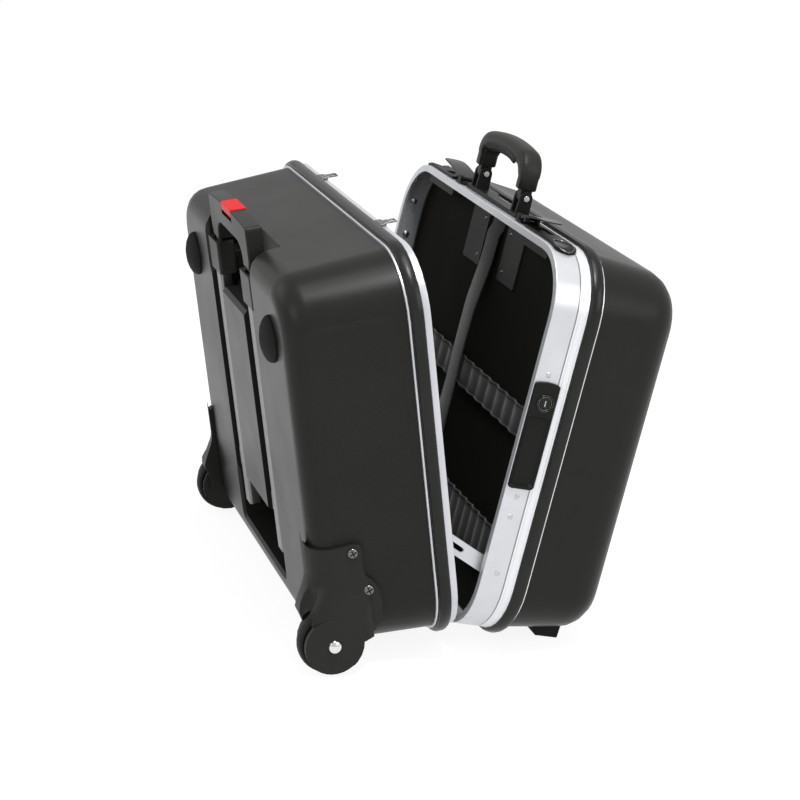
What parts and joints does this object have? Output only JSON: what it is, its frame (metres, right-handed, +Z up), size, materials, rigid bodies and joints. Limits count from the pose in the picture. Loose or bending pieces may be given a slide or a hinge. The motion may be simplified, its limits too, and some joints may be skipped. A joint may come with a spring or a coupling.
{
  "type": "wheeled tool case",
  "caption": "Black moulded tool case with aluminium rims, standing open on its wheels, with pull-out and carrying handles, lever latches, a lock and a board with tool loops.",
  "frame": {"origin": "centre of the footprint of the opened case, on the floor under it", "axes": "+X towards the narrow side with the lock and finger grip, +Y towards the half with the carrying handle, -Y towards the half with the wheels, +Z up"},
  "size_m": [0.5056, 0.4148, 0.4901],
  "materials": {
    "shell": "fine-textured black moulded plastic",
    "aluminium": "satin anodised",
    "gloss": "smooth black edge profile",
    "moulding": "black moulded plastic",
    "rubber": "black rubber",
    "tyre": "black tread",
    "chrome": "polished",
    "steel": "dark brushed",
    "red": "bright red",
    "felt": "black pressed board",
    "grey": "grey plastic",
    "webbing": "black webbing"
  },
  "bodies": {
    "rear_half": {"rear_shell": "shell", "rear_frame": "aluminium", "rear_bead": "gloss", "wheel_housing_right": "moulding", "wheel_housing_left": "moulding", "axle_right": "chrome", "axle_left": "chrome", "bumper_pad_right": "rubber", "bumper_pad_left": "rubber", "trolley_sleeve_right": "steel", "trolley_sleeve_left": "steel", "trolley_collar_right": "moulding", "trolley_collar_left": "moulding", "latch_keeper_right": "chrome", "latch_keeper_left": "chrome", "stay_stud_right": "steel", "stay_stud_left": "steel", "hinge_leaf_rear_right": "steel", "hinge_leaf_rear_left": "steel", "hinge_pin_right": "steel", "hinge_pin_left": "steel"},
    "wheel_right": {"tyre_right": "tyre", "wheel_hub_right": "moulding"},
    "wheel_left": {"tyre_left": "tyre", "wheel_hub_left": "moulding"},
    "trolley_middle": {"trolley_middle_tube_right": "steel", "trolley_middle_tube_left": "steel"},
    "trolley_handle": {"trolley_inner_tube_right": "steel", "trolley_inner_tube_left": "steel", "trolley_grip": "moulding"},
    "trolley_button_body": {"trolley_button": "red"},
    "front_half": {"front_shell": "shell", "front_frame": "aluminium", "front_bead": "gloss", "front_foot_right": "rubber", "front_foot_left": "rubber", "hinge_leaf_front_right": "steel", "hinge_leaf_front_left": "steel", "handle_base": "moulding", "handle_pin_right": "chrome", "handle_pin_left": "chrome", "latch_base_right": "moulding", "latch_base_left": "moulding", "latch_box_right": "grey", "latch_box_left": "grey", "lock_plate": "moulding", "tool_board": "felt", "board_bracket_right": "grey", "board_bracket_left": "grey", "strap": "webbing", "tool_loops": "webbing", "tool_pocket": "webbing"},
    "carrying_handle": {"carry_handle": "moulding", "handle_grip_pad": "rubber"},
    "latch_right": {"latch_lever_right": "gloss"},
    "latch_left": {"latch_lever_left": "gloss"},
    "lock": {"lock_barrel": "gloss"},
    "stay_right": {"lid_stay_right": "aluminium"},
    "stay_left": {"lid_stay_left": "aluminium"}
  },
  "joints": [
    {"name": "lid_hinge", "type": "hinge", "parent": "rear_half", "child": "front_half", "pos_m": [0, -0.00033, 0.02444], "axis": [-1, 0, 0], "range_deg": [-20.25, 69.75]},
    {"name": "wheel_right_spin", "type": "hinge", "parent": "rear_half", "child": "wheel_right", "pos_m": [0.231, -0.13524, 0.0335], "axis": [1, 0, 0], "continuous": true},
    {"name": "wheel_left_spin", "type": "hinge", "parent": "rear_half", "child": "wheel_left", "pos_m": [-0.231, -0.13524, 0.0335], "axis": [1, 0, 0], "continuous": true},
    {"name": "trolley_first_pull", "type": "slide", "parent": "rear_half", "child": "trolley_middle", "axis": [0, -0.1733, 0.9849], "range_m": [0, 0.25]},
    {"name": "trolley_second_pull", "type": "slide", "parent": "trolley_middle", "child": "trolley_handle", "axis": [0, -0.1733, 0.9849], "range_m": [0, 0.25]},
    {"name": "trolley_button_press", "type": "slide", "parent": "trolley_handle", "child": "trolley_button_body", "axis": [0, 0.1733, -0.9849], "range_m": [0, 0.004], "stiffness_N_per_m": 400, "springref_m": -0.001},
    {"name": "carry_handle_fold", "type": "hinge", "parent": "front_half", "child": "carrying_handle", "pos_m": [0, 0.0925, 0.43852], "axis": [1, 0, 0], "range_deg": [-88, 88]},
    {"name": "latch_right_lift", "type": "hinge", "parent": "front_half", "child": "latch_right", "pos_m": [0.092, 0.0883, 0.42373], "axis": [0, -0.984, 0.1783], "range_deg": [-9.5, 72]},
    {"name": "latch_left_lift", "type": "hinge", "parent": "front_half", "child": "latch_left", "pos_m": [-0.092, 0.0883, 0.42373], "axis": [0, 0.984, -0.1783], "range_deg": [-9.5, 72]},
    {"name": "lock_turn", "type": "hinge", "parent": "front_half", "child": "lock", "pos_m": [0.242, 0.06143, 0.27545], "axis": [-1, 0, 0], "range_deg": [0, 90]},
    {"name": "stay_right_swing", "type": "hinge", "parent": "front_half", "child": "stay_right", "pos_m": [0.228, 0.02816, 0.09753], "axis": [1, 0, 0], "range_deg": [-16.9, 57.4]},
    {"name": "stay_left_swing", "type": "hinge", "parent": "front_half", "child": "stay_left", "pos_m": [-0.228, 0.02816, 0.09753], "axis": [1, 0, 0], "range_deg": [-16.9, 57.4]}
  ],
  "couplings": [
    {"joint": "trolley_second_pull", "follows": "trolley_first_pull", "ratio": 1},
    {"joint": "stay_right_swing", "follows": "lid_hinge", "ratio": 0.82},
    {"joint": "stay_left_swing", "follows": "lid_hinge", "ratio": 0.82}
  ]
}
